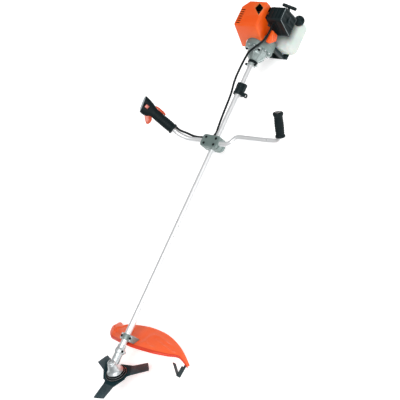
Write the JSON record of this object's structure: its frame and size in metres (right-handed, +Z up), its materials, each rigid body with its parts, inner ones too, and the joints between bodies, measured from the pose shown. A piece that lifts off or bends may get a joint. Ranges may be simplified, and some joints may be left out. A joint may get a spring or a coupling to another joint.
{
  "type": "string trimmer",
  "caption": "Petrol brush cutter with a long straight shaft, toothed metal blade, guard, bike-style handlebars and a two-stroke engine.",
  "frame": {"origin": "centre of the harness eye on the shaft bracket, where the machine hangs from its harness", "axes": "+X along the shaft towards the engine, +Y towards the throttle handle, +Z up with the machine lying on its stand and guard"},
  "size_m": [1.9618, 0.7371, 0.3778],
  "materials": {
    "bright_tube": "polished and lacquered",
    "steel": "machined",
    "dark_steel": "blackened",
    "blade_steel": "dark blue-black lacquer, ground edges",
    "cast_alloy": "die cast, tumbled",
    "grey_alloy": "die cast, grey",
    "case_alloy": "die cast, grey",
    "guard_plastic": "moulded, satin",
    "cover_plastic": "moulded, glossy",
    "trigger_plastic": "moulded",
    "switch_plastic": "moulded",
    "black_plastic": "moulded, fine grain",
    "grip_rubber": "moulded, matt",
    "cable_sheath": "ribbed sheath",
    "black_screws": "black oxide",
    "ceramic": "glazed",
    "clear_rubber": "translucent",
    "tank_plastic": "translucent white"
  },
  "bodies": {
    "frame": {"main_tube": "bright_tube", "shaft_bushings": "black_plastic", "gear_case": "cast_alloy", "grease_plug": "steel", "bearings": "steel", "guard": "guard_plastic", "guard_bracket": "grey_alloy", "guard_clamp": "grey_alloy", "guard_skirt": "black_plastic", "line_cutter": "dark_steel", "clamp_screws": "black_screws", "bar_clamp_base": "grey_alloy", "bar_clamp_middle": "grey_alloy", "bar_clamp_cap": "grey_alloy", "bar_clamp_bolts": "black_screws", "left_handlebar": "bright_tube", "right_handlebar": "bright_tube", "left_grip": "grip_rubber", "throttle_grip": "grip_rubber", "throttle_cable": "cable_sheath", "harness_bracket": "black_plastic", "harness_clamp_cap": "black_plastic", "clutch_housing": "cast_alloy", "rubber_collar": "grip_rubber", "engine_bolts": "black_screws", "crankcase": "case_alloy", "cylinder": "cast_alloy", "piston": "cast_alloy", "connecting_rod": "steel", "muffler": "steel", "cylinder_cover": "cover_plastic", "side_cover": "cover_plastic", "spark_plug": "ceramic", "plug_boot": "grip_rubber", "carburettor": "grey_alloy", "air_filter": "black_plastic", "fuel_tank": "tank_plastic", "stand": "black_plastic", "recoil_housing": "black_plastic"},
    "blade_set": {"output_spindle": "steel", "crown_gear": "steel", "blade_holder": "dark_steel", "blade": "blade_steel", "blade_washer": "steel", "nut_cover": "dark_steel", "blade_nut": "steel"},
    "drive_line": {"drive_shaft": "steel", "pinion_gear": "steel", "clutch_drum": "steel"},
    "crank_set": {"crankshaft": "steel", "flywheel": "cast_alloy", "clutch_shoes": "steel"},
    "trigger": {"throttle_trigger": "trigger_plastic"},
    "lockout": {"lockout_lever": "trigger_plastic"},
    "switch": {"stop_switch": "switch_plastic"},
    "starter": {"starter_handle": "black_plastic"},
    "choke": {"choke_lever": "black_plastic"},
    "primer": {"primer_bulb": "clear_rubber"},
    "filler_cap": {"fuel_cap": "black_plastic"}
  },
  "joints": [
    {"name": "blade_spin", "type": "hinge", "parent": "frame", "child": "blade_set", "pos_m": [-1.352, 0.038, 0.01], "axis": [0.5075, 0, 0.8616], "continuous": true},
    {"name": "drive_spin", "type": "hinge", "parent": "frame", "child": "drive_line", "pos_m": [-1.352, 0.038, 0.01], "axis": [1, 0, 0], "continuous": true},
    {"name": "engine_spin", "type": "hinge", "parent": "frame", "child": "crank_set", "pos_m": [-1.352, 0.038, 0.01], "axis": [1, 0, 0], "continuous": true},
    {"name": "throttle_pull", "type": "hinge", "parent": "frame", "child": "trigger", "pos_m": [-0.23841, 0.33765, 0.20521], "axis": [-0.1994, -0.6755, 0.7099], "range_deg": [0, 16], "stiffness_Nm_per_rad": 0.8, "springref_deg": -11.46},
    {"name": "lockout_press", "type": "hinge", "parent": "frame", "child": "lockout", "pos_m": [-0.20772, 0.31496, 0.19224], "axis": [0.1994, 0.6755, -0.7099], "range_deg": [0, 6], "stiffness_Nm_per_rad": 0.8, "springref_deg": -5.73},
    {"name": "stop_slide", "type": "slide", "parent": "frame", "child": "switch", "axis": [0.2642, 0.6605, 0.7028], "range_m": [0, 0.005]},
    {"name": "starter_pull", "type": "slide", "parent": "frame", "child": "starter", "axis": [0.7885, -0.3593, 0.4991], "range_m": [0, 0.6], "stiffness_N_per_m": 20, "springref_m": -0.4},
    {"name": "choke_turn", "type": "hinge", "parent": "frame", "child": "choke", "pos_m": [0.387, -0.1024, 0.056], "axis": [0, 1, 0], "range_deg": [0, 60]},
    {"name": "primer_press", "type": "slide", "parent": "frame", "child": "primer", "axis": [0, 0, 1], "range_m": [0, 0.0035], "stiffness_N_per_m": 900, "springref_m": -0.001},
    {"name": "filler_cap_turn", "type": "hinge", "parent": "frame", "child": "filler_cap", "pos_m": [0.43, -0.0775, -0.0365], "axis": [0, -0.7071, 0.7071], "range_deg": [0, 360]}
  ],
  "couplings": [
    {"joint": "drive_spin", "follows": "blade_spin", "ratio": 2.6}
  ]
}
